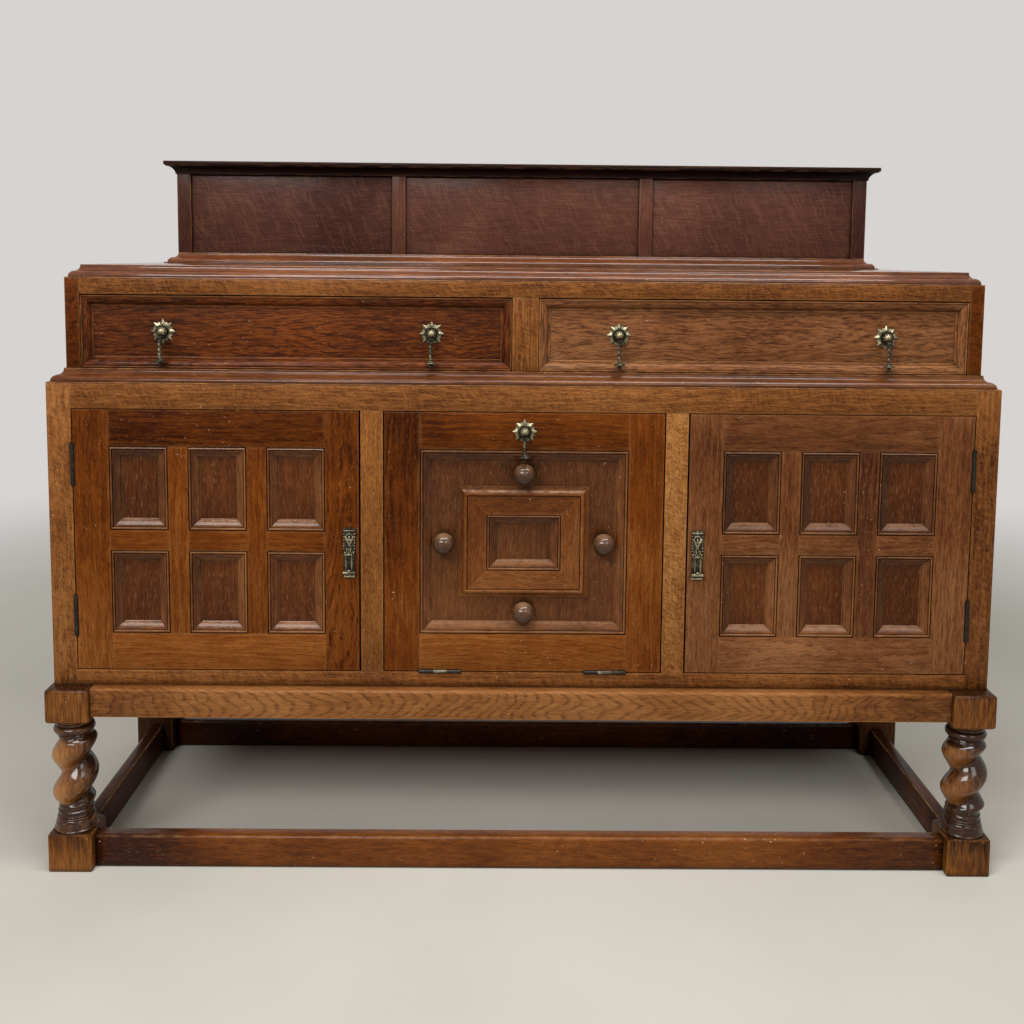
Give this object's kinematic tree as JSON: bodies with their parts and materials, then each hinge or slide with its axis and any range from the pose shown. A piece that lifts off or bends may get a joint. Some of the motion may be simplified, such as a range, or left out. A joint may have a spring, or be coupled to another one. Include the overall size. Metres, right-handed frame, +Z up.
{
  "type": "sideboard",
  "caption": "Oak sideboard with panelled gallery, drawers, panelled cupboard doors, a fall-front centre flap and a barley-twist stand.",
  "frame": {"origin": "on the floor at the middle of the outline", "axes": "+X to the right along the width, -Y out of the front, +Z up"},
  "size_m": [1.524, 0.517, 1.175],
  "materials": {
    "oak_dark": "dark stain, worn varnish",
    "oak_case": "brown stain, satin varnish",
    "oak_stand": "brown stain, worn varnish",
    "oak_inside": "bare",
    "brass_cast": "patinated casting",
    "brass_plain": "tarnished"
  },
  "bodies": {
    "carcase": {"gallery_base_moulding": "oak_dark", "gallery_uprights": "oak_dark", "gallery_panels": "oak_dark", "gallery_cornice": "oak_dark", "top_board": "oak_dark", "front_left_leg": "oak_stand", "front_right_leg": "oak_stand", "rear_legs": "oak_stand", "aprons": "oak_stand", "stretchers": "oak_stand", "case_posts": "oak_case", "case_side_rails": "oak_case", "case_side_panels": "oak_case", "cupboard_rails": "oak_case", "cupboard_mullions": "oak_case", "waist_moulding": "oak_case", "drawer_case_sides": "oak_case", "drawer_case_rail": "oak_case", "drawer_muntin": "oak_case", "cupboard_partitions": "oak_inside", "cupboard_floor": "oak_inside", "cupboard_shelves": "oak_inside", "shelf_cleats": "oak_inside", "door_stops": "oak_inside", "case_backs": "oak_inside", "dust_board": "oak_inside", "drawer_runners": "oak_inside", "case_hinge_leaves": "brass_plain", "hinge_pins": "brass_plain", "bullet_catches": "brass_plain"},
    "left_door": {"left_door_frame": "oak_case", "left_door_panels": "oak_case", "left_door_mouldings": "oak_case", "left_door_hinge_leaves": "brass_plain", "left_door_pull_plate": "brass_cast"},
    "left_door_drop": {"left_door_pull_drop": "brass_cast"},
    "right_door": {"right_door_frame": "oak_case", "right_door_panels": "oak_case", "right_door_mouldings": "oak_case", "right_door_hinge_leaves": "brass_plain", "right_door_pull_plate": "brass_cast"},
    "right_door_drop": {"right_door_pull_drop": "brass_cast"},
    "flap": {"flap_frame": "oak_case", "flap_panel": "oak_case", "flap_mouldings": "oak_case", "flap_tablet": "oak_case", "flap_knobs": "oak_case", "flap_hinge_leaves": "brass_plain", "flap_pull_rosette": "brass_cast"},
    "flap_drop": {"flap_pull_drop": "brass_cast"},
    "left_drawer": {"left_drawer_front": "oak_case", "left_drawer_box": "oak_inside", "left_drawer_rosettes": "brass_cast"},
    "left_drawer_inner_pull": {"left_drawer_inner_drop": "brass_cast"},
    "left_drawer_outer_pull": {"left_drawer_outer_drop": "brass_cast"},
    "right_drawer": {"right_drawer_front": "oak_case", "right_drawer_box": "oak_inside", "right_drawer_rosettes": "brass_cast"},
    "right_drawer_inner_pull": {"right_drawer_inner_drop": "brass_cast"},
    "right_drawer_outer_pull": {"right_drawer_outer_drop": "brass_cast"}
  },
  "joints": [
    {"name": "left_door_hinge", "type": "hinge", "parent": "carcase", "child": "left_door", "pos_m": [-0.7159, -0.2295, 0.5402], "axis": [0, 0, -1], "range_deg": [0, 105]},
    {"name": "left_door_drop_swing", "type": "hinge", "parent": "left_door", "child": "left_door_drop", "pos_m": [-0.2779, -0.2385, 0.5302], "axis": [-1, 0, 0], "range_deg": [0, 75]},
    {"name": "right_door_hinge", "type": "hinge", "parent": "carcase", "child": "right_door", "pos_m": [0.7159, -0.2295, 0.5402], "axis": [0, 0, 1], "range_deg": [0, 105]},
    {"name": "right_door_drop_swing", "type": "hinge", "parent": "right_door", "child": "right_door_drop", "pos_m": [0.2779, -0.2385, 0.5302], "axis": [-1, 0, 0], "range_deg": [0, 75]},
    {"name": "flap_hinge", "type": "hinge", "parent": "carcase", "child": "flap", "pos_m": [0, -0.2295, 0.3286], "axis": [1, 0, 0], "range_deg": [0, 90]},
    {"name": "flap_drop_swing", "type": "hinge", "parent": "flap", "child": "flap_drop", "pos_m": [0, -0.2495, 0.7122], "axis": [-1, 0, 0], "range_deg": [0, 75]},
    {"name": "left_drawer_slide", "type": "slide", "parent": "carcase", "child": "left_drawer", "axis": [0, -1, 0], "range_m": [0, 0.33]},
    {"name": "left_drawer_inner_pull_swing", "type": "hinge", "parent": "left_drawer", "child": "left_drawer_inner_pull", "pos_m": [-0.1498, -0.2165, 0.8639], "axis": [-1, 0, 0], "range_deg": [0, 75]},
    {"name": "left_drawer_outer_pull_swing", "type": "hinge", "parent": "left_drawer", "child": "left_drawer_outer_pull", "pos_m": [-0.5782, -0.2165, 0.8639], "axis": [-1, 0, 0], "range_deg": [0, 75]},
    {"name": "right_drawer_slide", "type": "slide", "parent": "carcase", "child": "right_drawer", "axis": [0, -1, 0], "range_m": [0, 0.33]},
    {"name": "right_drawer_inner_pull_swing", "type": "hinge", "parent": "right_drawer", "child": "right_drawer_inner_pull", "pos_m": [0.1498, -0.2165, 0.8639], "axis": [-1, 0, 0], "range_deg": [0, 75]},
    {"name": "right_drawer_outer_pull_swing", "type": "hinge", "parent": "right_drawer", "child": "right_drawer_outer_pull", "pos_m": [0.5782, -0.2165, 0.8639], "axis": [-1, 0, 0], "range_deg": [0, 75]}
  ]
}
